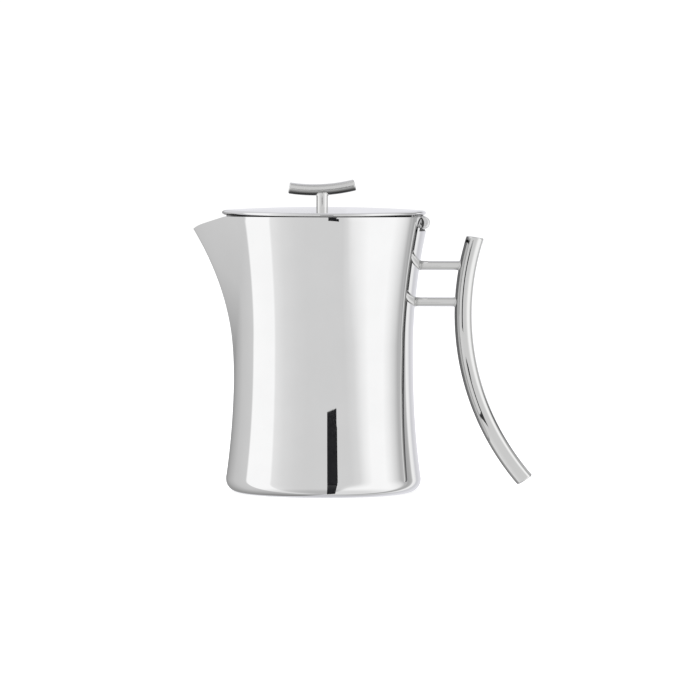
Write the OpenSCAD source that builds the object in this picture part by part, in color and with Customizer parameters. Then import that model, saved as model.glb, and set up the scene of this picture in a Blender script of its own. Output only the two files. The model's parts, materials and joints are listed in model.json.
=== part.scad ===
// Small covered cream jug in polished steel: a waisted round body with a pulled pouring
// lip, a bowed rod handle on two straight struts and a hinged domed lid with a bar knob.
// Millimetres. The origin is the middle of the base on the table, +Z is up, the lip
// points to -X and the handle to +X.

/* [Body] */
// Height of the rim above the table
body_h = 99.5; // [80:0.5:130]
// Outer radius at the rim
rim_r = 37.9; // [34:0.1:42]
// Outer radius at the waist
waist_r = 32.3; // [28:0.05:33]
// Height of the waist
waist_z = 54; // [35:0.5:60]
// Outer radius just above the rounded foot
foot_r = 35.2; // [33:0.1:40]
// Radius of the rounded foot corner
foot_round = 4.8; // [3:0.1:6]
// Thickness of the wall and of the base
wall = 1.4; // [1:0.1:1.8]
// How late the wall flares towards the rim
rim_flare = 1.8; // [1.5:0.02:3.5]
// How late the wall flares towards the foot
foot_flare = 2.45; // [1.5:0.05:3.5]
// Radius of the flat disc that closes the base
base_r = 27; // [20:0.5:29]

/* [Pouring lip] */
// Height where the lip's ridge leaves the round wall
ridge_z = 36; // [30:1:45]
// How far the ridge would stand off the round wall at rim height
ridge_out = 12.06; // [6:0.01:16]
// How late the ridge swings out
ridge_flare = 2.25; // [1.5:0.05:3.5]
// Height of the lower point of the welded lip panel
lip_apex_z = 37; // [33:1:45]
// Half width that the lip panel gains for each millimetre of height
lip_spread = 0.4; // [0.38:0.01:0.45]
// Distance from the axis where the lip's edge starts to fall
lip_fall_x = 35.65; // [31:0.05:36]
// Fall of the lip's edge for each millimetre outwards
lip_fall = 0.32; // [0.1:0.01:0.5]
// Extra fall at the rounded tip
tip_fall = 0.7; // [0:0.1:1.5]

/* [Lid] */
// Greatest radius of the lid
lid_r = 36.8; // [36:0.05:37.5]
// Height of the lid's top in the middle
lid_top_z = 103; // [102:0.1:105]
// Height of the lid's lower edge, just clear of the rim
lid_edge_z = 100; // [99.8:0.05:101]
// Radius of the shallow dome
dome_r = 550; // [300:10:900]
// Thickness of the lid
lid_t = 1.2; // [0.8:0.1:1.4]
// Radius of the lid's rounded edge
lid_round = 1; // [0.5:0.05:1]
// Outer radius of the ring under the lid
flange_r = 35.2; // [34:0.1:35.3]
// Thickness of the ring under the lid
flange_t = 1; // [0.8:0.1:1.5]
// Height of the ring's lower edge
flange_z = 97.9; // [96:0.1:99]

/* [Hinge] */
// Distance of the hinge axis from the jug's axis
hinge_x = 35.7; // [35:0.1:36.5]
// Height of the hinge axis
hinge_z = 97.5; // [97:0.1:98]
// Outer radius of the hinge barrel
barrel_r = 2.25; // [2:0.05:2.5]
// Radius of the hinge pin
pin_r = 1.1; // [0.8:0.05:1.4]
// Half width of the notch in the rim
notch_half = 14.7; // [12:0.1:16]
// Half width of the lid's own knuckle
knuckle_half = 7.4; // [5:0.1:9]
// Gap between neighbouring knuckles
knuckle_gap = 0.3; // [0.2:0.05:0.5]
// Gap between the barrel and the bottom of the notch
notch_gap = 0.85; // [0.3:0.05:1]
// Running clearance of the lid's knuckle on the pin
pin_play = 0.05; // [0.02:0.01:0.1]

/* [Knob] */
// How far the knob stands from the lid's middle, towards the lip
knob_shift = 0.65; // [0:0.05:2]
// Radius of the post
post_r = 2.1; // [1.5:0.1:3]
// Radius of the bowed bar
knob_bar_r = 2.05; // [1.4:0.05:2.5]
// Radius of the bar's bow
knob_bow_r = 59.8; // [40:0.1:90]
// Height of the bar's lowest centre point
knob_low_z = 109.1; // [107:0.1:112]
// Distance of the bow's lowest point from the jug's axis, towards the lip
knob_low_x = 3.6; // [0:0.1:6]
// Angle of the bow on the lip's side
knob_lip_deg = 8.7; // [4:0.1:16]
// Angle of the bow on the handle's side
knob_handle_deg = 14.3; // [4:0.1:16]
// Rounding of the bar's ends
knob_end_round = 0.5; // [0.2:0.1:1]
// Radius of the fixing screw's thread
screw_r = 1.5; // [1:0.25:1.5]
// Radius of the fixing screw's head
screw_head_r = 2.75; // [2:0.25:3]
// Length of the screw's thread
screw_len = 4; // [3:0.5:4]

/* [Handle] */
// Radius of the handle's round bar
handle_bar_r = 3.15; // [2.5:0.05:4.5]
// Radius of the handle's bow
handle_bow_r = 91.4; // [80:0.2:110]
// Distance of the handle's inmost centre point from the jug's axis
handle_x = 50.35; // [46:0.05:56]
// Height of the handle's inmost point
handle_z = 64.6; // [58:0.1:70]
// Angle of the bow above that point
handle_up_deg = 17.6; // [12:0.2:24]
// Angle of the bow below that point
handle_down_deg = 41.2; // [30:0.2:41.6]
// Rounding of the bar's two ends
handle_end_round = 0.6; // [0.2:0.1:1]
// Radius of the two straight struts
strut_r = 1.7; // [1.2:0.05:2.5]
// Height of the upper strut
upper_strut_z = 81.95; // [76:0.05:86]
// Height of the lower strut
lower_strut_z = 68.8; // [60:0.1:72]

/* [Hidden] */

polished = "gainsboro";
satin = "silver";

wall_steps = 14;       // straight steps of the wall's curve, above and below the waist
corner_steps = 6;      // straight steps of a rounded corner
dome_steps = 8;        // straight steps of the lid's dome
lip_columns = 24;      // facets across the lip panel
lip_rows = 20;         // facets up the lip panel
tip_power = 8;         // how suddenly the lip's edge drops at its tip
seam = 0.02;           // gap left along a brazed seam
reach = 60;            // long enough for a cut to leave the jug
cap_step = 0.01;       // a bar's rounded end is this much slimmer than the bar
cap_sink = 0.1;        // and sinks this deep into it

lip_low_z = lip_apex_z + 2;                       // blunt lower point of the lip panel
notch_z = hinge_z - barrel_r - notch_gap;         // bottom of the notch in the rim
leaf_inner_x = 23;                                // inner end of the lid's hinge leaf
leaf_t = 1;                                       // thickness of the hinge leaf
flange_gap_x = 31.4;                              // the ring under the lid stops here
screw_head_t = 1.8;
slot_w = 0.8;                                     // screwdriver slot
slot_d = 0.9;
screw_relief = 0.2;                               // free depth past the screw's tip
knob_bow_z = knob_low_z + knob_bow_r;             // centre of the knob bar's bow
handle_bow_x = handle_x + handle_bow_r;           // centre of the handle's bow

// Slope of the wall at the foot, and the height where the rounded corner takes over.
foot_slope = foot_flare * (foot_r - waist_r) / (waist_z - foot_round);
foot_lean = atan(foot_slope);
foot_z = foot_round * (1 + sin(foot_lean));

// Outer radius of the round wall at a height.
function wall_r(z) = z >= waist_z
    ? waist_r + (rim_r - waist_r) * pow((z - waist_z) / (body_h - waist_z), rim_flare)
    : waist_r + (foot_r - waist_r) * pow((waist_z - z) / (waist_z - foot_z), foot_flare);

// Heights of the wall's steps, from the foot corner to the rim.
wall_heights = concat(
    [for (i = [0:wall_steps - 1]) foot_z + (waist_z - foot_z) * i / wall_steps],
    [for (i = [0:wall_steps]) waist_z + (body_h - waist_z) * i / wall_steps]);

// Half section of the foot corner and wall, moved inwards by an inset.
function wall_line(inset) = concat(
    [for (i = [0:corner_steps])
        let (a = -90 + (90 + foot_lean) * i / (corner_steps + 1))
        [foot_r - foot_round * cos(foot_lean) + (foot_round - inset) * cos(a),
            foot_round + (foot_round - inset) * sin(a)]],
    [for (z = wall_heights) [wall_r(z) - inset, z]]);

function reversed(points) = [for (i = [len(points) - 1:-1:0]) points[i]];

// Half width of the lip panel at a height, and distance of the ridge from the axis.
function lip_half(z) = lip_spread * (z - lip_apex_z);
function ridge_x(z) = wall_r(z)
    + ridge_out * pow((z - ridge_z) / (body_h - ridge_z), ridge_flare);

// Angle between the ridge and the line where a flat flank meets the round wall.
function flank_angle(z) = acos(wall_r(z) / ridge_x(z));

// A point of the lip panel: u runs from -1 to 1 across it, inset is the depth in the wall.
function lip_angle(u, z, inset) = u * asin((lip_half(z) - seam) / (wall_r(z) - inset));
function lip_radius(u, z, inset) = (wall_r(z) - inset)
    / cos(max(0, flank_angle(z) - abs(lip_angle(u, z, inset))));
function lip_point(u, z, inset) = let (a = lip_angle(u, z, inset))
    [-lip_radius(u, z, inset) * cos(a), lip_radius(u, z, inset) * sin(a), z];

// Height of the lip's upper edge at a distance out, and of the edge of one column.
function edge_height(x) = let (out = max(0, x - lip_fall_x))
    body_h - lip_fall * out - tip_fall * pow(out / (ridge_x(body_h - 5) - lip_fall_x), tip_power);
function column_top(u, tries = 8) = tries == 0 ? body_h - 3
    : edge_height(-lip_point(u, column_top(u, tries - 1), 0)[0]);

// The lid's dome, and its half section.
function dome_z(r) = lid_top_z - r * r / (2 * dome_r);
lid_corner_r = lid_r - lid_round;
lid_corner_z = dome_z(lid_corner_r) - lid_round;
lid_seat_r = flange_r - 0.5;      // the lid's thick edge begins here, over the ring

module wall_solid() {
    rotate_extrude($fn = 180)
        polygon(concat([[0, 0]], wall_line(0), [[0, body_h]]));
}

module ring(outer_r, inner_r, height) {
    difference() {
        cylinder(r = outer_r, h = height, $fn = 120);
        translate([0, 0, -1]) cylinder(r = inner_r, h = height + 2, $fn = 120);
    }
}

// A straight part of the hinge barrel along Y, bored for the pin.
module knuckle(y0, y1, bore_r) {
    translate([hinge_x, y1, hinge_z]) rotate([90, 0, 0])
        ring(barrel_r, bore_r, y1 - y0);
}

// A round bar bowed in the XZ plane about the Y axis, from one angle to another.
module bowed_bar(bow_r, bar_r, from_deg, to_deg, end_round) {
    rotate([90, 0, 0]) rotate([0, 0, from_deg]) {
        rotate_extrude(angle = to_deg - from_deg, $fn = 180)
            translate([bow_r, 0]) circle(r = bar_r, $fn = 64);
        translate([bow_r, 0, 0]) bar_end(bar_r, end_round);
        rotate([0, 0, to_deg - from_deg]) translate([bow_r, 0, 0])
            mirror([0, 1, 0]) bar_end(bar_r, end_round);
    }
}

// The slightly rounded cap at the end of a bowed bar, sunk a little into it.
module bar_end(bar_r, end_round) {
    cap_r = bar_r - cap_step;
    rotate([90, 0, 0]) rotate_extrude($fn = 64)
        polygon(concat([[0, -cap_sink], [cap_r, -cap_sink]],
            [for (i = [0:corner_steps]) let (a = 90 * i / corner_steps)
                [cap_r - end_round + end_round * cos(a), end_round * sin(a)]],
            [[0, end_round]]));
}

module handle_solid() {
    translate([handle_bow_x, 0, handle_z])
        bowed_bar(handle_bow_r, handle_bar_r, 180 - handle_up_deg, 180 + handle_down_deg,
            handle_end_round);
}

module knob_bar_solid() {
    translate([-knob_low_x, 0, knob_bow_z])
        bowed_bar(knob_bow_r, knob_bar_r, 270 - knob_lip_deg, 270 + knob_handle_deg,
            knob_end_round);
}

// A straight strut, its ends shaped to the wall and to the handle's bar.
module strut(z) {
    difference() {
        translate([waist_r, 0, z]) rotate([0, 90, 0])
            cylinder(r = strut_r, h = handle_x - waist_r + 2, $fn = 48);
        wall_solid();
        handle_solid();
    }
}

module body_wall() {
    color(polished) difference() {
        rotate_extrude($fn = 180)
            polygon(concat([[base_r, 0]], wall_line(0), reversed(wall_line(wall)),
                [[base_r, wall]]));
        // the V window that the lip panel fills
        rotate([90, 0, -90]) linear_extrude(height = reach)
            polygon([for (z = [lip_low_z, body_h + 5]) for (side = [-1, 1])
                [side * (z > body_h ? 1 : -1) * lip_half(z), z]]);
        // the notch for the hinge barrel
        translate([waist_r - 10, -notch_half, notch_z])
            cube([reach, 2 * notch_half, body_h]);
    }
}

module base_plate() {
    color(satin) cylinder(r = base_r - seam, h = wall, $fn = 120);
}

module pouring_lip() {
    row = lip_columns + 1;
    layer = row * (lip_rows + 1);
    points = [for (inset = [0, wall]) for (j = [0:lip_rows]) for (i = [0:lip_columns])
        let (u = 2 * i / lip_columns - 1)
        lip_point(u, lip_low_z + (column_top(u) - lip_low_z) * j / lip_rows, inset)];
    function at(side, i, j) = side * layer + j * row + i;
    skin = [for (j = [0:lip_rows - 1]) for (i = [0:lip_columns - 1])
        for (t = [[at(0, i, j), at(0, i, j + 1), at(0, i + 1, j + 1)],
                [at(0, i, j), at(0, i + 1, j + 1), at(0, i + 1, j)],
                [at(1, i, j), at(1, i + 1, j + 1), at(1, i, j + 1)],
                [at(1, i, j), at(1, i + 1, j), at(1, i + 1, j + 1)]]) t];
    ends = [for (i = [0:lip_columns - 1])
        for (t = [[at(0, i, 0), at(0, i + 1, 0), at(1, i + 1, 0)],
                [at(0, i, 0), at(1, i + 1, 0), at(1, i, 0)],
                [at(0, i, lip_rows), at(1, i, lip_rows), at(1, i + 1, lip_rows)],
                [at(0, i, lip_rows), at(1, i + 1, lip_rows), at(0, i + 1, lip_rows)]]) t];
    sides = [for (j = [0:lip_rows - 1])
        for (t = [[at(0, 0, j), at(1, 0, j), at(1, 0, j + 1)],
                [at(0, 0, j), at(1, 0, j + 1), at(0, 0, j + 1)],
                [at(0, lip_columns, j), at(1, lip_columns, j + 1), at(1, lip_columns, j)],
                [at(0, lip_columns, j), at(0, lip_columns, j + 1),
                    at(1, lip_columns, j + 1)]]) t];
    color(polished) polyhedron(points, concat(skin, ends, sides));
}

module handle_bar() {
    color(polished) handle_solid();
}

module upper_strut() {
    color(polished) strut(upper_strut_z);
}

module lower_strut() {
    color(polished) strut(lower_strut_z);
}

module hinge_knuckle_front() {
    color(polished)
        knuckle(-notch_half + seam, -knuckle_half - knuckle_gap, pin_r + seam);
}

module hinge_knuckle_rear() {
    color(polished)
        knuckle(knuckle_half + knuckle_gap, notch_half - seam, pin_r + seam);
}

module hinge_pin() {
    color(satin) translate([hinge_x, notch_half - seam, hinge_z]) rotate([90, 0, 0])
        cylinder(r = pin_r, h = 2 * (notch_half - seam), $fn = 48);
}

module lid_plate() {
    color(polished) difference() {
        rotate_extrude($fn = 180) polygon(concat(
            [for (i = [0:dome_steps]) let (r = lid_seat_r * i / dome_steps)
                [r, dome_z(r) - lid_t]],
            [[lid_seat_r + 0.3, lid_edge_z]],
            [for (i = [-2:corner_steps]) let (a = 90 * i / corner_steps)
                [lid_corner_r + lid_round * cos(a),
                    max(lid_edge_z, lid_corner_z + lid_round * sin(a))]],
            [for (i = [dome_steps - 1:-1:0]) let (r = lid_corner_r * i / dome_steps)
                [r, dome_z(r)]]));
        translate([-knob_shift, 0, lid_edge_z]) cylinder(r = screw_r + 0.1, h = 10, $fn = 48);
    }
}

module lid_flange() {
    top_z = dome_z(flange_r - flange_t) - lid_t;
    color(satin) difference() {
        rotate_extrude($fn = 180) polygon([
            [flange_r - flange_t, flange_z], [flange_r, flange_z],
            [flange_r, lid_edge_z], [lid_seat_r + 0.3, lid_edge_z],
            [lid_seat_r, dome_z(lid_seat_r) - lid_t], [flange_r - flange_t, top_z]]);
        translate([flange_gap_x, -reach / 2, flange_z - 1]) cube([reach, reach, 10]);
    }
}

module lid_hinge_leaf() {
    color(satin) difference() {
        union() {
            intersection() {
                rotate_extrude($fn = 180) polygon(concat(
                    [for (r = [leaf_inner_x - 2, 26, 29, 32, lid_seat_r])
                        [r, dome_z(r) - lid_t]],
                    [for (r = [lid_seat_r, 32, 29, 26, leaf_inner_x - 2])
                        [r, dome_z(r) - lid_t - leaf_t]]));
                translate([leaf_inner_x, -knuckle_half, hinge_z])
                    cube([hinge_x - leaf_inner_x, 2 * knuckle_half, 10]);
            }
            translate([hinge_x - barrel_r, -knuckle_half, hinge_z])
                cube([barrel_r, 2 * knuckle_half, lid_edge_z - hinge_z]);
            knuckle(-knuckle_half, knuckle_half, pin_r);
        }
        translate([hinge_x, reach / 2, hinge_z]) rotate([90, 0, 0])
            cylinder(r = pin_r + pin_play, h = reach, $fn = 64);
    }
}

module knob_post() {
    color(polished) difference() {
        translate([-knob_shift, 0, lid_top_z])
            cylinder(r = post_r, h = knob_low_z - lid_top_z, $fn = 64);
        knob_bar_solid();
        translate([-knob_shift, 0, lid_top_z - 1])
            cylinder(r = screw_r + seam, h = 1 + screw_len - lid_t + screw_relief, $fn = 48);
    }
}

module knob_bar() {
    color(polished) knob_bar_solid();
}

module knob_screw() {
    seat_z = dome_z(screw_head_r + knob_shift) - lid_t;
    color(satin) difference() {
        translate([-knob_shift, 0, seat_z]) union() {
            cylinder(r = screw_r, h = screw_len, $fn = 48);
            translate([0, 0, -screw_head_t]) cylinder(r = screw_head_r, h = screw_head_t, $fn = 48);
        }
        translate([-knob_shift - reach / 2, -slot_w / 2, seat_z - screw_head_t - 1])
            cube([reach, slot_w, slot_d + 1]);
    }
}

body_wall();
base_plate();
pouring_lip();
handle_bar();
upper_strut();
lower_strut();
hinge_knuckle_front();
hinge_knuckle_rear();
hinge_pin();
lid_plate();
lid_flange();
lid_hinge_leaf();
knob_post();
knob_bar();
knob_screw();
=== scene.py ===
"""Covered cream jug in mirror-polished steel: meshes, materials, studio light and camera.

Lengths in this script are millimetres until a mesh is made, which turns them into metres.
The frame is the CAD frame: origin in the middle of the base, +Z up, lip to -X, handle to +X.
"""

import json
import math

import bmesh
import bpy
from mathutils import Matrix, Vector


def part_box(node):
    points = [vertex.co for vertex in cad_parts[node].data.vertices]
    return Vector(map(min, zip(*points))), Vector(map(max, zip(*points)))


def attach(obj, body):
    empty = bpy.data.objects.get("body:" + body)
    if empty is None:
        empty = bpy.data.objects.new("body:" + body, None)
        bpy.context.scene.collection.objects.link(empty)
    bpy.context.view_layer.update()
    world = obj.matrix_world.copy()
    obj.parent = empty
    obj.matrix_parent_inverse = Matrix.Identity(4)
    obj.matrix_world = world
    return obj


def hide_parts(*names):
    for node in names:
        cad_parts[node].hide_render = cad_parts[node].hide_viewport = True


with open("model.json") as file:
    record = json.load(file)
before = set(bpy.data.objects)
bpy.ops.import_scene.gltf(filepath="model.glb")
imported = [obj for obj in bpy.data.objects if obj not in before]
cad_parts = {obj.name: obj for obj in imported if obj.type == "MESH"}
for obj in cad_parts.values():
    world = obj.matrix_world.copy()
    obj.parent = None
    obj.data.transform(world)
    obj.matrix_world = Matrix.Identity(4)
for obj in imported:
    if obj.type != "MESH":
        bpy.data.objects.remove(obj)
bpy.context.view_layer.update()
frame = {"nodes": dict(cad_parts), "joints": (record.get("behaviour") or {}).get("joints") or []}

MM = 0.001


# ---------------------------------------------------------------- dimensions, from the frame

def top(node):
    """Upper corner of a node's box."""
    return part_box(node)[1] / MM


def low(node):
    """Lower corner of a node's box."""
    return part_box(node)[0] / MM


hinge = Vector(frame["joints"][0]["pos_m"]) / MM

BODY_H = top("body_wall").z
RIM_R = 37.9
WAIST_R, WAIST_Z = 32.3, 54.0
FOOT_R, FOOT_ROUND = 35.2, 4.8
WALL = top("base_plate").z
BASE_R = top("base_plate").x
RIM_FLARE, FOOT_FLARE = 1.8, 2.45
# the rim curls out over its last millimetre, by this share of the height
RIM_FLICK, RIM_FLICK_H = 0.03, 1.1
RIM_ROUND = 0.32

RIDGE_Z, RIDGE_OUT, RIDGE_FLARE = 36.0, 12.06, 2.25
LIP_FALL_X, LIP_FALL, TIP_FALL, TIP_POWER = 35.65, 0.32, 0.7, 8
# the lip's reach is taken this far under the rim
LIP_REACH_DROP = 5.0
# the lip lies within this turn of its ridge, and its falling edge bends the rows above this height
LIP_TURN, LIP_BEND_Z = math.pi / 3, 70.0
RIDGE_SOFT, BLEND_SOFT = math.radians(0.8), math.radians(2.0)

LID_R = top("lid_plate").x
LID_TOP = top("lid_plate").z
LID_EDGE = low("lid_plate").z
DOME_R, LID_T = 550.0, 1.2
# towards front and back the lid falls at this slope, from a rounded middle
LID_SLOPE, LID_MIDDLE_R = 0.08, 12.0

BARREL_R = top("hinge_knuckle_rear").z - hinge.z
PIN_R = top("hinge_pin").z - hinge.z
BARREL_HALF = top("hinge_pin").y
NOTCH_LAP, NOTCH_GAP = 0.95, 0.85
NOTCH_HALF = BARREL_HALF - NOTCH_LAP
NOTCH_Z = hinge.z - BARREL_R - NOTCH_GAP
KNUCKLE_HALF = top("lid_hinge_leaf").y

KNOB_X = (low("knob_post").x + top("knob_post").x) / 2
POST_R = (top("knob_post").x - low("knob_post").x) / 2
KNOB_R = top("knob_bar").y
KNOB_BOW, KNOB_LOW = 59.8, Vector((-3.6, 0, 109.1))
KNOB_ARC = (-8.7, 14.3)
KNOB_ROUND = 0.5

ROD_R = top("handle_bar").y
ROD_BOW = 91.4
ROD_MID = Vector((low("handle_bar").x + ROD_R, 0, 64.6))
ROD_ARC = (-17.6, 41.2)
ROD_SLANT, ROD_ROUND = 8.0, 0.6
STRUT_R = top("upper_strut").y

# radius of the tiny hole in the middle of a turned piece or a rod's end
CORE = 0.001


# ---------------------------------------------------------------- the jug's shape

foot_lean = math.atan(FOOT_FLARE * (FOOT_R - WAIST_R) / (WAIST_Z - FOOT_ROUND))
FOOT_Z = FOOT_ROUND * (1 + math.sin(foot_lean))


def wall_r(z):
    """Outer radius of the round wall at a height."""
    if z >= WAIST_Z:
        flick = RIM_FLICK * max(0.0, z - BODY_H + RIM_FLICK_H)
        share = (z - WAIST_Z) / (BODY_H - WAIST_Z)
        return WAIST_R + (RIM_R - WAIST_R) * share ** RIM_FLARE + flick
    return WAIST_R + (FOOT_R - WAIST_R) * ((WAIST_Z - z) / (WAIST_Z - FOOT_Z)) ** FOOT_FLARE


def lip_r(angle, z, inset=0.0):
    """Radius of the wall with its lip, at an angle from the lip's ridge and a height."""
    r = wall_r(z)
    out = RIDGE_OUT * (max(0.0, z - RIDGE_Z) / (BODY_H - RIDGE_Z)) ** RIDGE_FLARE
    flank = math.acos(r / (r + out))
    off = math.hypot(angle, RIDGE_SOFT) - RIDGE_SOFT
    turn = flank - off
    turn = (turn + math.hypot(turn, BLEND_SOFT)) / 2 if flank > 0 else 0.0
    return (r - inset) / math.cos(min(turn, flank))


def lip_edge_z(angle):
    """Height of the rim at an angle from the ridge: level, and falling along the lip."""
    if abs(angle) > LIP_TURN:
        return BODY_H
    near_top = BODY_H - LIP_REACH_DROP
    ridge = RIDGE_OUT * ((near_top - RIDGE_Z) / (BODY_H - RIDGE_Z)) ** RIDGE_FLARE
    reach = wall_r(near_top) + ridge - LIP_FALL_X
    z = BODY_H - 3
    for _ in range(12):
        out = max(0.0, lip_r(angle, z) * math.cos(angle) - LIP_FALL_X)
        z = BODY_H - LIP_FALL * out - TIP_FALL * (out / reach) ** TIP_POWER
    return z


def dome_z(r):
    """Height of the lid's top along the jug's length."""
    return LID_TOP - r * r / (2 * DOME_R)


# ---------------------------------------------------------------- mesh helpers

def make_mesh(name, verts, faces, body, replaced, materials, sharp_deg=35.0, bevel=None,
              material_of=None):
    """A mesh piece in metres, smooth but for its sharp edges, riding on a body."""
    mesh = bpy.data.meshes.new(name)
    mesh.from_pydata([Vector(v) * MM for v in verts], [], faces)
    bm = bmesh.new()
    bm.from_mesh(mesh)
    if material_of:
        bm.faces.ensure_lookup_table()
        for face in bm.faces:
            face.material_index = material_of(face.index)
    bmesh.ops.remove_doubles(bm, verts=bm.verts, dist=1e-8)
    bmesh.ops.recalc_face_normals(bm, faces=bm.faces)
    bm.to_mesh(mesh)
    bm.free()
    mesh.polygons.foreach_set("use_smooth", [True] * len(mesh.polygons))
    mesh.set_sharp_from_angle(angle=math.radians(sharp_deg))
    piece = bpy.data.objects.new(name, mesh)
    bpy.context.scene.collection.objects.link(piece)
    for material in materials:
        mesh.materials.append(material)
    if bevel:
        width, steps = bevel
        round_edges = piece.modifiers.new("rounded_edges", "BEVEL")
        round_edges.width = width * MM
        round_edges.segments = steps
        round_edges.limit_method = "ANGLE"
        round_edges.angle_limit = math.radians(sharp_deg)
        round_edges.harden_normals = True
    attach(piece, body)
    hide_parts(*replaced)
    return piece


def bridge(rings, closed_rings=True, wrap=False):
    """Quads between rings of vertex numbers, one ring to the next."""
    faces = []
    pairs = list(zip(rings, rings[1:])) + ([(rings[-1], rings[0])] if wrap else [])
    for a, b in pairs:
        n = len(a)
        for i in range(n if closed_rings else n - 1):
            k = (i + 1) % n
            faces.append((a[i], a[k], b[k], b[i]))
    return faces


def capped(rings):
    """Faces of a tube of rings, closed at both ends."""
    return bridge(rings) + [tuple(reversed(rings[0])), tuple(rings[-1])]


def add_ring(verts, rings, points):
    """Add the points of one ring to verts, and their numbers to rings."""
    rings.append(list(range(len(verts), len(verts) + len(points))))
    verts += points


def lathe(profile, steps, centre=(0, 0, 0), axis="Z"):
    """Verts and faces of a closed half section (radius, height) turned about an axis."""
    verts, rings = [], []
    for i in range(steps):
        a = 2 * math.pi * i / steps
        ring = [(r * math.cos(a), r * math.sin(a), h) for r, h in profile]
        if axis == "Y":
            ring = [(x, h, z) for x, z, h in ring]
        add_ring(verts, rings, [Vector(point) + Vector(centre) for point in ring])
    return verts, bridge(rings, wrap=True)


def corner(r, h, size, start, end, steps=5):
    """Points of a rounded corner about a centre (r, h), from one angle to another."""
    points = []
    for i in range(steps + 1):
        a = math.radians(start + (end - start) * i / steps)
        points.append((r + size * math.cos(a), h + size * math.sin(a)))
    return points


def bowed_rod(low_point, bow_r, centre_deg, arc, radius, end_round, slant=0.0, steps=96, sides=64):
    """Verts and faces of a round bar bowed in the XZ plane, with rounded and slanting ends."""
    inward = Vector((math.cos(math.radians(centre_deg)), 0, math.sin(math.radians(centre_deg))))
    centre = low_point - inward * bow_r
    length = bow_r * math.radians(arc[1] - arc[0])
    stations = [(0.0, CORE), (0.0, (radius - end_round) / 2), (0.0, radius - end_round)]
    for i in range(1, 7):
        a = math.pi / 2 * i / 6
        stations.append((end_round * (1 - math.cos(a)),
                         radius - end_round + end_round * math.sin(a)))
    middle = [(end_round + (length - 2 * end_round) * i / steps, radius) for i in range(1, steps)]
    stations = stations + middle + [(length - s, r) for s, r in reversed(stations)]
    verts, rings = [], []
    lean = math.tan(math.radians(slant))
    fade = 4 * radius
    for s, r in stations:
        near = max(0.0, 1 - s / fade) - max(0.0, 1 - (length - s) / fade)
        ring = []
        for k in range(sides):
            t = 2 * math.pi * k / sides
            u = r * math.cos(t)
            a = math.radians(centre_deg + arc[0]) + (s + u * lean * near) / bow_r
            out = Vector((math.cos(a), 0, math.sin(a)))
            ring.append(centre + out * (bow_r + u) + Vector((0, r * math.sin(t), 0)))
        add_ring(verts, rings, ring)
    return verts, capped(rings)


def welded(start, end, along, weld, size):
    """How much wider a rod of a given radius is where its weld flares out, beside either end."""
    near = max(0.0, min(along - start, end - along))
    flare = weld - math.sqrt(weld ** 2 - (weld - near) ** 2) if near < weld else 0.0
    return 1 + flare / size


# ---------------------------------------------------------------- materials

def nodes_of(material):
    """The node tree of a material, and its shader."""
    material.use_nodes = True
    tree = material.node_tree
    return tree, tree.nodes["Principled BSDF"]


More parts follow.
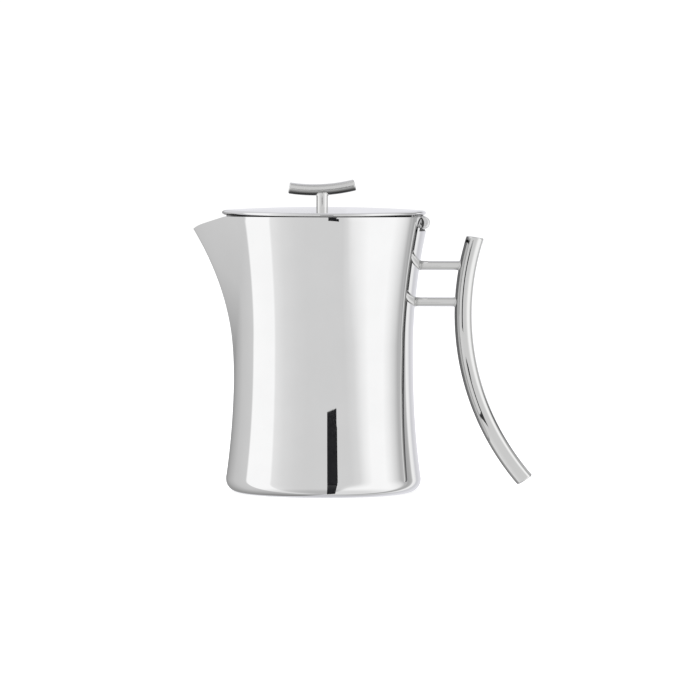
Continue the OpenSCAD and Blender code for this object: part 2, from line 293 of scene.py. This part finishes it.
def steel(name, tint, rough, drift, grain, lines=(0, 0, 0), bump=0.02, painted_shade_in_hollows=(), painted_shade_side=None):
    """Polished or satin steel: soft smudges, fine polishing lines and a trace of unevenness.

    rough is the mean roughness and drift how far the smudges move it. grain is the strength of
    the fine lines, whose stretch along X, Y and Z is lines, in lines per millimetre.
    painted_shade_in_hollows is painted shade: an ambient occlusion test darkens the colour in
    recesses, under things and between parts. For each entry: how far it looks for another surface,
    in millimetres, the open shares of the view where it is full and where it ends, and how much of
    the colour it leaves. painted_shade_side is painted shade on one side of the piece, picked by
    the object-space normal: its axis, how far the surface leans that way where it is darkest and
    where it ends, and how much of the colour it leaves.
    """
    material = bpy.data.materials.new(name)
    tree, shader = nodes_of(material)
    add, link = tree.nodes.new, tree.links.new
    coords = add("ShaderNodeTexCoord")

    smudge = add("ShaderNodeTexNoise")
    smudge.inputs["Scale"].default_value = 55.0
    smudge.inputs["Detail"].default_value = 5.0
    smudge.inputs["Roughness"].default_value = 0.62
    link(coords.outputs["Object"], smudge.inputs["Vector"])

    stretch = add("ShaderNodeMapping")
    stretch.inputs["Scale"].default_value = [v / MM for v in lines]
    link(coords.outputs["Object"], stretch.inputs["Vector"])
    fine = add("ShaderNodeTexNoise")
    fine.inputs["Scale"].default_value = 1.0
    fine.inputs["Detail"].default_value = 3.0
    link(stretch.outputs["Vector"], fine.inputs["Vector"])

    spread = add("ShaderNodeMapRange")
    spread.inputs["From Min"].default_value = 0.3
    spread.inputs["From Max"].default_value = 0.7
    spread.inputs["To Min"].default_value = rough - drift
    spread.inputs["To Max"].default_value = rough + drift
    link(smudge.outputs["Fac"], spread.inputs["Value"])
    lift = add("ShaderNodeMath")
    lift.operation = "MULTIPLY_ADD"
    lift.inputs[1].default_value = grain
    link(fine.outputs["Fac"], lift.inputs[0])
    link(spread.outputs["Result"], lift.inputs[2])
    link(lift.outputs["Value"], shader.inputs["Roughness"])

    shade = add("ShaderNodeValToRGB")
    shade.color_ramp.elements[0].position = 0.35
    shade.color_ramp.elements[1].position = 0.65
    shade.color_ramp.elements[0].color = (*[c * 0.975 for c in tint], 1)
    shade.color_ramp.elements[1].color = (*tint, 1)
    link(smudge.outputs["Fac"], shade.inputs["Fac"])
    colour = shade.outputs["Color"]

    def fade(value, least, most, left):
        """The colour, less of it as a value falls from most to least, where only left remains."""
        share = add("ShaderNodeMapRange")
        share.interpolation_type = "SMOOTHSTEP"
        share.inputs["From Min"].default_value = least
        share.inputs["From Max"].default_value = most
        share.inputs["To Min"].default_value = left
        link(value, share.inputs["Value"])
        faded = add("ShaderNodeMix")
        faded.data_type = "RGBA"
        faded.inputs["A"].default_value = (0, 0, 0, 1)
        link(share.outputs["Result"], faded.inputs["Factor"])
        link(colour, faded.inputs["B"])
        return faded.outputs["Result"]

    # painted shade: an ambient occlusion test darkens the base colour in recesses, under things
    # and between parts
    for reach, full, free, left in painted_shade_in_hollows:
        shade_occlusion = add("ShaderNodeAmbientOcclusion")
        shade_occlusion.samples = 12
        shade_occlusion.inputs["Distance"].default_value = reach * MM
        colour = fade(shade_occlusion.outputs["AO"], full, free, left)
    # painted shade: the side of the piece picked by its object-space normal gets a darker base
    # colour
    if painted_shade_side:
        axis, darkest, unshaded, left = painted_shade_side
        lean = add("ShaderNodeSeparateXYZ")
        link(coords.outputs["Normal"], lean.inputs[0])
        colour = fade(lean.outputs[axis], darkest, unshaded, left)
    link(colour, shader.inputs["Base Color"])

    relief = add("ShaderNodeBump")
    relief.inputs["Strength"].default_value = bump
    relief.inputs["Distance"].default_value = 0.02 * MM
    link(fine.outputs["Fac"], relief.inputs["Height"])
    link(relief.outputs["Normal"], shader.inputs["Normal"])

    shader.inputs["Metallic"].default_value = 1.0
    return material


POLISHED = (0.86, 0.86, 0.862)
ROD = (0.82, 0.82, 0.815)
SATIN = (0.70, 0.70, 0.70)

# painted shade: the polished body is darkened by occlusion close to the struts and other joints
mirror_body = steel("polished_body", POLISHED, 0.012, 0.005, 0.005, (0.3, 0.3, 14.0), bump=0.002,
                    painted_shade_in_hollows=[(1.2, 0.0, 0.4, 0.5)])
mirror_lid = steel("polished_lid", POLISHED, 0.04, 0.012, 0.012, (6.0, 0.3, 0.3), bump=0.01)
# painted shade and painted dark reflection: the rod is darker on its side towards the jug (object
# -X) and in recesses
mirror_rod = steel("polished_rod", ROD, 0.03, 0.01, 0.01, (5.0, 5.0, 0.4), bump=0.01,
                   painted_shade_in_hollows=[(2.0, 0.3, 0.9, 0.08)], painted_shade_side=("X", -1.0, -0.3, 0.14))
# painted shade: the struts are darkened by occlusion where they meet the wall and the handle
mirror_strut = steel("polished_strut", ROD, 0.04, 0.012, 0.015, (0.4, 5.0, 5.0), bump=0.01,
                     painted_shade_in_hollows=[(2.0, 0.35, 0.95, 0.05)])
# painted shade and painted dark reflection: the knob bar is darker on its underside (object -Z)
# and in recesses
mirror_knob = steel("polished_knob", ROD, 0.2, 0.03, 0.03, (0.4, 5.0, 5.0), bump=0.02,
                    painted_shade_in_hollows=[(1.6, 0.3, 0.9, 0.1)], painted_shade_side=("Z", -0.8, 0.1, 0.1))
# painted shade: the post is darker on its -X side, chosen by its object-space normal
mirror_post = steel("polished_post", ROD, 0.04, 0.012, 0.015, (5.0, 5.0, 0.4), bump=0.01,
                    painted_shade_side=("X", -1.0, -0.55, 0.45))
# painted shade: occlusion darkens the inside of the jug towards its corners
satin_inside = steel("satin_inside", SATIN, 0.27, 0.05, 0.10, (0.4, 0.4, 16.0), bump=0.25,
                     painted_shade_in_hollows=[(5.0, 0.0, 0.8, 0.08)])
satin_base = steel("satin_base", SATIN, 0.27, 0.05, 0.12, (4.0, 4.0, 4.0), bump=0.25)
# painted shade: occlusion makes the hinge almost black in its crevices
satin_hinge = steel("satin_hinge", (0.8, 0.8, 0.805), 0.16, 0.04, 0.06, (5.0, 0.5, 5.0), bump=0.1,
                    painted_shade_in_hollows=[(0.9, 0.3, 0.8, 0.02)])
# painted shade: occlusion turns the ring under the lid almost black, for the shaded gap under the
# lid's edge
satin_lid = steel("satin_lid_underside", SATIN, 0.25, 0.05, 0.10, (8.0, 0.4, 0.4), bump=0.2,
                  painted_shade_in_hollows=[(5.0, 0.3, 0.95, 0.02)])
screw_steel = steel("satin_screw", (0.62, 0.62, 0.62), 0.22, 0.05, 0.08, (3.0, 3.0, 3.0), bump=0.1)
# painted shade: a near-black colour for the sheets that fill the shadowed gaps round the hinge
# barrel
painted_shade_black = steel("painted_shade_sheet", (0.09, 0.09, 0.09), 0.45, 0.08, 0.1, (3.0, 3.0, 3.0), bump=0.3)


# ---------------------------------------------------------------- body with its lip

def half_turns():
    """Column places: shares of the sector in front of the hinge notch, then of the notch."""
    half, crowding, notch_steps = 150, 1.4, 24
    front = [math.copysign((abs(i) / half) ** crowding, i) for i in range(-half, half + 1)]
    notch = [i / notch_steps for i in range(1, notch_steps)]
    return front, notch


def shade_sheets_in_hinge():
    """Near-black sheets of painted shade in the hinge, standing in for its shadowed gaps: a low
    web along the notch's floor, and a thin seam on the notch's upright edges beside the free ends
    of the outer knuckles. Lists of rings."""
    web, steps = [], 60
    wide, shy, deep, sunk = 0.3, 0.35, 0.7, 0.2
    low_rise, high_rise = 0.55, 1.25
    for i in range(steps + 1):
        y = (NOTCH_HALF - wide) * (2 * i / steps - 1)
        outer = math.sqrt((wall_r(NOTCH_Z) - shy) ** 2 - y * y)
        rise = high_rise if abs(y) > KNUCKLE_HALF + 0.6 else low_rise
        web.append([(outer, y, NOTCH_Z - sunk), (outer, y, NOTCH_Z + rise),
                    (outer - deep, y, NOTCH_Z + rise), (outer - deep, y, NOTCH_Z - sunk)])
    yield web
    seam_half, seam_bulge, seam_steps = 1.95, 0.85, 24
    left = hinge.x - 0.75
    for way in (-1, 1):
        near, far = way * (BARREL_HALF - 0.8), way * (BARREL_HALF + 0.04)
        seam = []
        for i in range(seam_steps + 1):
            up = 2 * i / seam_steps - 1
            z = hinge.z - 0.15 + seam_half * up
            right = left + 0.1 + seam_bulge * (1 - up * up)
            seam.append([(left, near, z), (right, near, z), (right, far, z), (left, far, z)])
        yield seam


def build_shell():
    """The body wall with its foot, lip and hinge notch, outside and inside, and the near-black
    sheets of painted shade in the hinge.
    """
    front, notch = half_turns()
    corner_steps, ring_steps = 14, 6
    lower_rows, upper_rows = 130, 10

    def column_angle(k, z, inset):
        edge = math.pi - math.asin(NOTCH_HALF / (wall_r(z) - inset))
        if k < len(front):
            return front[k] * edge
        return edge + notch[k - len(front)] * 2 * (math.pi - edge)

    columns = len(front) + len(notch)
    lean = math.degrees(foot_lean)

    def rows(inset):
        """Rows of one side, from the base ring out and up: (radius, height), wall heights."""
        centre_r = FOOT_R - FOOT_ROUND * math.cos(foot_lean)
        flat = [(BASE_R + (centre_r - BASE_R) * i / ring_steps, inset) for i in range(ring_steps)]
        bend = corner(centre_r, FOOT_ROUND, FOOT_ROUND - inset, -90, lean, corner_steps)[:-1]
        wall = [FOOT_Z + (NOTCH_Z - FOOT_Z) * i / lower_rows for i in range(lower_rows + 1)]
        wall += [NOTCH_Z + (BODY_H - NOTCH_Z) * i / upper_rows for i in range(1, upper_rows + 1)]
        return flat + bend, wall

    edge_drop = {}

    def place(k, row, inset):
        if isinstance(row, tuple):
            r, z = row
            a = column_angle(k, FOOT_Z, inset)
        else:
            z = row
            a = column_angle(k, z, inset)
            if z > LIP_BEND_Z and abs(a) < LIP_TURN:
                if k not in edge_drop:
                    edge_drop[k] = lip_edge_z(column_angle(k, BODY_H, 0)) - BODY_H
                z += edge_drop[k] * ((z - LIP_BEND_Z) / (BODY_H - LIP_BEND_Z)) ** 2
            r = lip_r(abs(a), z, inset) if abs(a) < math.pi / 2 else wall_r(z) - inset
        return (-r * math.cos(a), r * math.sin(a), z)

    verts, index = [], {}
    for side, inset in enumerate((0.0, WALL)):
        turned, wall = rows(inset)
        for j, row in enumerate(turned + wall):
            for k in range(columns):
                if k >= len(front) and j >= len(turned) + lower_rows + 1:
                    continue
                index[side, j, k] = len(verts)
                verts.append(place(k, row, inset))
    n_rows = len(turned) + len(wall)
    notch_row = len(turned) + lower_rows

    faces, inner = [], []

    def quad(*keys, inside=False):
        faces.append(tuple(index[key] for key in keys))
        inner.append(inside)

    for side in (0, 1):
        for j in range(n_rows - 1):
            for k in range(columns):
                n = (k + 1) % columns
                in_notch = k >= len(front) - 1
                if in_notch and j >= notch_row:
                    continue
                quad((side, j, k), (side, j, n), (side, j + 1, n), (side, j + 1, k),
                     inside=side == 1)
    for k in range(columns):
        n = (k + 1) % columns
        edge = notch_row if k >= len(front) - 1 else n_rows - 1
        quad((0, edge, k), (0, edge, n), (1, edge, n), (1, edge, k), inside=edge == notch_row)
        quad((0, 0, k), (1, 0, k), (1, 0, n), (0, 0, n))
    for k in (0, len(front) - 1):
        for j in range(notch_row, n_rows - 1):
            quad((0, j, k), (0, j + 1, k), (1, j + 1, k), (1, j, k))
    shell = len(faces)
    # near-black sheets of painted shade in the hinge's gaps
    for strip in shade_sheets_in_hinge():
        start = len(verts)
        verts += [v for ring in strip for v in ring]
        n = len(strip[0])
        faces += capped([list(range(start + i * n, start + (i + 1) * n))
                         for i in range(len(strip))])
    return make_mesh("jug_shell", verts, faces, "jug", ["body_wall", "pouring_lip"],
                     [mirror_body, satin_inside, painted_shade_black], bevel=(RIM_ROUND, 3),
                     material_of=lambda i: 2 if i >= shell else 1 if inner[i] else 0)


build_shell()


def build_base():
    """The flat disc in the foot, its edges eased where it is welded in."""
    groove, middle = 0.25, BASE_R / 2
    profile = [(CORE, 0.0), (middle, 0.0), (BASE_R - groove, 0.0)]
    profile += [(BASE_R, groove), (BASE_R, WALL - groove), (BASE_R - groove, WALL)]
    profile += [(middle, WALL), (CORE, WALL)]
    verts, faces = lathe(profile, 180)
    make_mesh("base_disc", verts, faces, "jug", ["base_plate"], [satin_base])


build_base()


# ---------------------------------------------------------------- handle and struts

def build_handle():
    """The bowed rod, its ends cut at a slant."""
    verts, faces = bowed_rod(ROD_MID, ROD_BOW, 180, ROD_ARC, ROD_R, ROD_ROUND, ROD_SLANT, 160, 96)
    make_mesh("handle_rod", verts, faces, "jug", ["handle_bar"], [mirror_rod])


def strut_ends(y, z):
    """Where the wall's and the handle rod's surfaces lie along X, at one point of a strut."""
    wall_x = math.sqrt(wall_r(z) ** 2 - y * y)
    bow_x = ROD_MID.x + ROD_BOW
    reach = ROD_BOW + math.sqrt(max(0.0, ROD_R ** 2 - y * y))
    return wall_x, bow_x - math.sqrt(reach ** 2 - (z - ROD_MID.z) ** 2)


def build_strut(node):
    """A straight rod from the wall to the handle, with a small weld at each end."""
    height = (low(node).z + top(node).z) / 2
    sides, steps, weld, sink = 48, 40, 0.35, 0.08
    verts, rings = [], []
    for i in range(steps + 1):
        share = (1 - math.cos(math.pi * i / steps)) / 2
        ring = []
        for k in range(sides):
            a = 2 * math.pi * k / sides
            y, z = STRUT_R * math.cos(a), STRUT_R * math.sin(a)
            start, end = strut_ends(y, height + z)
            x = start - sink + (end - start + 2 * sink) * share
            grow = welded(start, end, x, weld, STRUT_R)
            ring.append((x, y * grow, height + z * grow))
        add_ring(verts, rings, ring)
    make_mesh(node + "_rod", verts, capped(rings), "jug", [node], [mirror_strut])


build_handle()
for strut in ("upper_strut", "lower_strut"):
    build_strut(strut)


# ---------------------------------------------------------------- hinge

def build_knuckle(node):
    """An outer knuckle, its free end domed and its inner end only eased."""
    inner, outer = sorted((low(node).y, top(node).y), key=abs)
    way = math.copysign(1, outer)
    bore, edge, dome, dome_deep = PIN_R + 0.01, 0.25, 1.15, 0.92
    profile = [(bore, outer), (BARREL_R - dome, outer)]
    profile += [(BARREL_R - dome + dome * math.sin(a), outer - way * dome_deep * (1 - math.cos(a)))
                for a in [math.pi / 2 * i / 9 for i in range(1, 10)]]
    profile += [(BARREL_R, inner + way * edge), (BARREL_R - edge, inner), (bore, inner)]
    verts, faces = lathe(profile, 72, (hinge.x, 0, hinge.z), axis="Y")
    make_mesh(node + "_ring", verts, faces, "jug", [node], [satin_hinge])


def build_pin():
    """The pin through the knuckles, its ends only eased."""
    end, edge = BARREL_HALF, 0.04
    profile = [(CORE, -end), (PIN_R - edge, -end)] + corner(PIN_R - edge, edge - end, edge, -90, 0)
    profile += corner(PIN_R - edge, end - edge, edge, 0, 90) + [(CORE, end)]
    verts, faces = lathe(profile, 48, (hinge.x, 0, hinge.z), axis="Y")
    make_mesh("pin_rod", verts, faces, "jug", ["hinge_pin"], [satin_hinge])


def build_leaf():
    """The middle knuckle with its leaf, as one outline drawn along the hinge."""
    inner_x = low("lid_hinge_leaf").x
    leaf_t, bore, step_down = 1.0, PIN_R + 0.05, 0.02
    under = [(x, dome_z(x) - LID_T) for x in (inner_x, 26.0, 29.0, 32.0, 34.2)]
    start = math.degrees(math.acos(0.35))
    barrel = [(hinge.x + x, hinge.z + z) for x, z in corner(0, 0, BARREL_R, start, -200, 60)]
    lower = [(x, z - leaf_t) for x, z in reversed(under[:-1])]
    outline = under + [(hinge.x, LID_EDGE - step_down)] + barrel + lower
    hole = [(hinge.x + x, hinge.z + z) for x, z in corner(0, 0, bore, 0, 354, 59)]
    curve = bpy.data.curves.new("leaf_outline", "CURVE")
    curve.dimensions = "2D"
    curve.fill_mode = "BOTH"
    curve.extrude = KNUCKLE_HALF * MM
    for loop in (outline, hole):
        spline = curve.splines.new("POLY")
        spline.points.add(len(loop) - 1)
        spline.use_cyclic_u = True
        for point, (x, z) in zip(spline.points, loop):
            point.co = (x * MM, z * MM, 0, 1)
    drawn = bpy.data.objects.new("leaf_outline", curve)
    bpy.context.scene.collection.objects.link(drawn)
    mesh = bpy.data.meshes.new_from_object(drawn)
    bpy.data.objects.remove(drawn)
    mesh.transform(Matrix.Rotation(math.pi / 2, 4, "X"))
    verts = [v.co / MM for v in mesh.vertices]
    faces = [tuple(p.vertices) for p in mesh.polygons]
    make_mesh("lid_leaf", verts, faces, "lid", ["lid_hinge_leaf"], [satin_hinge],
              bevel=(0.15, 2))


for knuckle in ("hinge_knuckle_front", "hinge_knuckle_rear"):
    build_knuckle(knuckle)
build_pin()
build_leaf()


# ---------------------------------------------------------------- lid and knob

def arch(a):
    """How far round a direction from +X has turned towards the front or the back."""
    return math.sin(a) ** 2


def lid_z(r, a):
    """Height of the lid's top: a shallow dome, straighter and steeper towards front and back."""
    straight = LID_TOP - LID_SLOPE * (math.hypot(r, LID_MIDDLE_R) - LID_MIDDLE_R)
    return dome_z(r) * (1 - arch(a)) + straight * arch(a)


def build_lid():
    """The domed disc with its rounded edge, which is also lower in front and behind."""
    seat_r = -low("lid_flange").x - 0.5
    turns, seat_steps, under_steps, edge_steps, top_steps = 360, 20, 9, 18, 40
    verts, rings = [], []
    for k in range(turns):
        a = 2 * math.pi * k / turns
        wide = 2.3 - 1.2 * arch(a)
        deep = 0.9 - 0.4 * arch(a)
        shoulder_r = LID_R - wide
        crown = lid_z(shoulder_r, a)
        edge_z = LID_EDGE + 0.12 - 0.47 * arch(a)
        widest_z = edge_z + (crown - edge_z) * 0.48
        profile = []
        for i in range(seat_steps + 1):
            r = seat_r * i / seat_steps + CORE
            profile.append((r, lid_z(r, a) - LID_T))
        profile += [(seat_r + 0.4, max(edge_z, lid_z(seat_r, a) - LID_T))]
        for i in range(under_steps):
            b = math.pi / 2 * i / under_steps
            profile.append((LID_R - deep + deep * math.sin(b),
                            widest_z - (widest_z - edge_z) * math.cos(b)))
        for i in range(edge_steps + 1):
            b = math.pi / 2 * i / edge_steps
            profile.append((shoulder_r + wide * math.cos(b),
                            widest_z + (crown - widest_z) * math.sin(b)))
        for i in range(1, top_steps):
            r = shoulder_r * (1 - i / top_steps)
            profile.append((r, lid_z(r, a)))
        profile += [(CORE, LID_TOP)]
        add_ring(verts, rings, [(r * math.cos(a), r * math.sin(a), z) for r, z in profile])
    make_mesh("lid_dome", verts, bridge(rings, wrap=True), "lid", ["lid_plate"],
              [mirror_lid], sharp_deg=40)


def build_flange():
    """The ring under the lid, open at the hinge."""
    outer = -low("lid_flange").x
    thick, soft, gap = 1.0, 0.3, 0.02
    inner = outer - thick
    foot = low("lid_flange").z
    open_half = math.acos(top("lid_flange").x / outer)
    verts, rings, steps = [], [], 220
    for i in range(steps + 1):
        a = open_half + (2 * math.pi - 2 * open_half) * i / steps
        section = [(inner + soft, foot), (outer - soft, foot), (outer, foot + soft)]
        section += [(r, lid_z(r, a) - LID_T - gap) for r in (outer, inner)]
        section += [(inner, foot + soft)]
        add_ring(verts, rings, [(r * math.cos(a), r * math.sin(a), z) for r, z in section])
    make_mesh("lid_ring", verts, capped(rings), "lid", ["lid_flange"],
              [satin_lid])


def bar_underside(x, y):
    """Height of the knob bar's underside over a point."""
    bow_z = KNOB_LOW.z + KNOB_BOW
    reach = KNOB_BOW + math.sqrt(max(0.0, KNOB_R ** 2 - y * y))
    return bow_z - math.sqrt(reach ** 2 - (x - KNOB_LOW.x) ** 2)


def build_post():
    """The post from the lid to the bar, with a small weld under the bar."""
    sides, steps, weld, sink = 64, 40, 0.6, 0.1
    held = 0.85 * KNOB_R
    start = dome_z(abs(KNOB_X) + POST_R)
    verts, rings = [], []
    for i in range(steps + 1):
        share = (1 - math.cos(math.pi * i / steps)) / 2
        ring = []
        for k in range(sides):
            a = 2 * math.pi * k / sides
            x, y = POST_R * math.cos(a), POST_R * math.sin(a)
            end = bar_underside(KNOB_X + x, max(-held, min(held, y)))
            z = start - sink / 4 + (end - start + sink) * share
            ring.append((KNOB_X + x * welded(-math.inf, end, z, weld, POST_R), y, z))
        add_ring(verts, rings, ring)
    make_mesh("post_rod", verts, capped(rings), "lid", ["knob_post"],
              [mirror_post])


def build_knob():
    """The bowed bar across the post."""
    verts, faces = bowed_rod(KNOB_LOW, KNOB_BOW, 270, KNOB_ARC, KNOB_R, KNOB_ROUND, 0, 80, 72)
    make_mesh("knob_rod", verts, faces, "lid", ["knob_bar"], [mirror_knob])


build_lid()
build_flange()
build_post()
build_knob()

screw_materials = frame["nodes"]["knob_screw"].data.materials
screw_materials.clear()
screw_materials.append(screw_steel)


# ---------------------------------------------------------------- studio

def studio_world():
    """Studio light seen in the metal: softboxes and flags, by azimuth and elevation."""
    world = bpy.data.worlds.new("studio")
    bpy.context.scene.world = world
    world.use_nodes = True
    tree = world.node_tree
    add, link = tree.nodes.new, tree.links.new
    background = tree.nodes["Background"]

    def math_node(operation, *values):
        node = add("ShaderNodeMath")
        node.operation = operation
        for socket, value in zip(node.inputs, values):
            if isinstance(value, (int, float)):
                socket.default_value = value
            else:
                link(value, socket)
        return node.outputs[0]

    coords = add("ShaderNodeTexCoord")
    split = add("ShaderNodeSeparateXYZ")
    link(coords.outputs["Generated"], split.inputs[0])
    x, y, z = split.outputs
    azimuth = math_node("ARCTAN2", x, math_node("MULTIPLY", y, -1.0))
    elevation = math_node("ARCSINE", z)

    def step(value, start, end):
        node = add("ShaderNodeMapRange")
        node.interpolation_type = "SMOOTHSTEP"
        node.inputs["From Min"].default_value = math.radians(start)
        node.inputs["From Max"].default_value = math.radians(end)
        link(value, node.inputs["Value"])
        return node.outputs["Result"]

    def dimmed(share, loss):
        """What a dimmer leaves of the light, where its share is 1 for its full loss."""
        return math_node("MULTIPLY_ADD", share, -loss, 1.0)

    # the soft light on the right grows narrower higher up
    softbox_middle = 70
    right = math_node("MULTIPLY", step(azimuth, 15, 35), step(azimuth, 125, 105))
    off_middle = math_node("SUBTRACT", azimuth, math.radians(softbox_middle))
    spread = math_node("MULTIPLY", math_node("MULTIPLY", off_middle, elevation), right)
    turned = math_node("ADD", spread, azimuth)

    # and the edge of the softbox on the left leans
    edge_lean = 0.19
    left = math_node("MULTIPLY", step(azimuth, -82, -94), elevation)
    turned = math_node("MULTIPLY_ADD", left, edge_lean, turned)

    around = add("ShaderNodeValToRGB")
    link(math_node("MULTIPLY_ADD", turned, 0.5 / math.pi, 0.5), around.inputs["Fac"])
    white, pale = (1, 1, 1), (0.985, 0.985, 1.03)
    full = 1.2
    # azimuth in degrees, brightness, tint
    stops = [
        (-180, 0.86, pale), (-177, 0.86, pale), (-172, 0.30, white), (-160, 0.36, white),
        (-150, 0.45, white), (-128, 0.62, white), (-103.5, 0.69, white), (-101.8, 1.10, white),
        (-66, 1.09, white), (-64, 0.90, white), (-50, 0.80, white), (-34, 0.745, white),
        (-20, 0.72, white), (28, 0.72, white), (40, 0.79, white), (50, 0.97, white),
        (60, 1.09, white), (82, 1.09, white), (92, 0.95, white), (102, 0.74, white),
        (110, 0.50, white), (114, 0.54, white), (120, 0.42, white), (129, 0.50, white),
        (133, 0.98, white), (139, 0.94, white), (145, 0.68, pale), (160, 0.80, pale),
        (180, 0.86, pale),
    ]
    ramp = around.color_ramp
    while len(ramp.elements) < len(stops):
        ramp.elements.new(0.5)
    for element, (degrees, value, tint) in zip(ramp.elements, stops):
        element.position = degrees / 360 + 0.5
        element.color = (*[value * c / full for c in tint], 1)

    # to the right behind the jug the pale backdrop ends low and the room above it is dark
    behind = math_node("MULTIPLY", step(azimuth, 98, 112), step(azimuth, 172, 155))
    above = math_node("MULTIPLY", step(elevation, 10, 17), step(elevation, 26, 19))
    level = dimmed(math_node("MULTIPLY", behind, above), 0.82)

    # higher up on the left behind the jug a pale wall begins
    wall = math_node("MULTIPLY", step(azimuth, -104, -125), step(elevation, 5, 13))
    paler = add("ShaderNodeMix")
    paler.data_type = "RGBA"
    paler.inputs["B"].default_value = (0.62, 0.62, 0.64, 1)
    link(wall, paler.inputs["Factor"])
    link(around.outputs["Color"], paler.inputs["A"])

    # the ceiling is dim, and the table close to the jug lies in its shade
    level = math_node("MULTIPLY", level, dimmed(step(elevation, 50, 80), 0.35))
    level = math_node("MULTIPLY", level, dimmed(step(elevation, -30, -62), 0.25))
    link(paler.outputs["Result"], background.inputs["Color"])
    link(math_node("MULTIPLY", level, full), background.inputs["Strength"])


def plain_material(name, colour, glow):
    """A matt material of one colour, for the studio only."""
    material = bpy.data.materials.new(name)
    tree, shader = nodes_of(material)
    shader.inputs["Base Color"].default_value = (*colour, 1)
    shader.inputs["Roughness"].default_value = 0.8
    shader.inputs["Emission Color"].default_value = (1, 1, 1, 1)
    shader.inputs["Emission Strength"].default_value = glow
    return material


def stage_piece(name, mesh, material):
    """A piece of the studio, which isn't part of the object."""
    piece = bpy.data.objects.new(name, mesh)
    bpy.context.scene.collection.objects.link(piece)
    mesh.materials.append(material)
    return piece


def hide_from(piece, *rays):
    """Keep a piece of the studio out of sight of some kinds of ray."""
    for ray in rays:
        setattr(piece, "visible_" + ray, False)


def disc(name, radius, material, dome=False):
    """A flat disc on the table, or a dome round it."""
    mesh = bpy.data.meshes.new(name)
    bm = bmesh.new()
    if dome:
        bmesh.ops.create_uvsphere(bm, u_segments=64, v_segments=32, radius=radius)
    else:
        bmesh.ops.create_circle(bm, cap_ends=True, segments=128, radius=radius)
    bm.to_mesh(mesh)
    bm.free()
    return stage_piece(name, mesh, material)


def card(name, corners):
    """A dark card that only shows as a reflection."""
    mesh = bpy.data.meshes.new(name)
    mesh.from_pydata([Vector(c) * MM for c in corners], [], [tuple(range(len(corners)))])
    black = plain_material(name + "_black", (0.006, 0.006, 0.008), 0.0)
    hide_from(stage_piece(name, mesh, black), "camera", "diffuse", "transmission", "shadow")


def upright_card(name, y, left, right, foot, left_top, right_top):
    """A card that faces the jug at a distance y in front, its top level or slanting."""
    card(name, [(left, y, foot), (right, y, foot), (right, y, right_top), (left, y, left_top)])


def studio():
    """The light, the floor and backdrop, and the dark things that the metal reflects."""
    studio_world()
    near, far = -132, -165
    upright_card("near_card", near, 9.8, 34.3, 0, 35.2, 35.9)
    card("near_strip", [(1.5, -34, 0.2), (4.6, -34, 0.2), (34.3, -133, 0.2), (9.8, -133, 0.2)])
    upright_card("far_card", far, 13.5, 46, 28, 35.4, 35.9)
    upright_card("middle_card", far, -10, 29, 50, 99, 99)
    upright_card("upper_card", far, -24, 12, 103, 106, 106)
    floor = disc("floor", 6.0, plain_material("floor_white", (0.86, 0.86, 0.86), 0.55))
    hide_from(floor, "glossy", "shadow")
    backdrop = disc("backdrop", 6.5, plain_material("backdrop_white", (0, 0, 0), 1.05), dome=True)
    hide_from(backdrop, "diffuse", "glossy", "transmission", "shadow")

    light = bpy.data.lights.new("overhead", "AREA")
    light.shape = "DISK"
    light.size = 1.2
    light.energy = 9.0
    overhead = bpy.data.objects.new("overhead", light)
    overhead.location = (-0.3, -0.4, 1.4)
    overhead.rotation_euler = (-overhead.location).to_track_quat("-Z", "Y").to_euler()
    overhead.visible_glossy = False
    bpy.context.scene.collection.objects.link(overhead)


def camera():
    """The camera stands far off and a little above the lid, looking slightly down."""
    distance, height, roll = 1.5, 0.112, math.radians(0.15)
    aim = Vector((0.0095, 0, 0.0513))
    view = bpy.data.cameras.new("camera")
    view.lens = 213.7
    view.sensor_width = 36.0
    eye = bpy.data.objects.new("camera", view)
    eye.location = (aim.x, -distance, height)
    look = (aim - eye.location).to_track_quat("-Z", "Y")
    eye.rotation_euler = (look.to_matrix() @ Matrix.Rotation(roll, 3, "Z")).to_euler()
    bpy.context.scene.collection.objects.link(eye)
    bpy.context.scene.camera = eye


studio()
camera()
bpy.context.scene.view_settings.view_transform = "Standard"

bpy.context.view_layer.update()
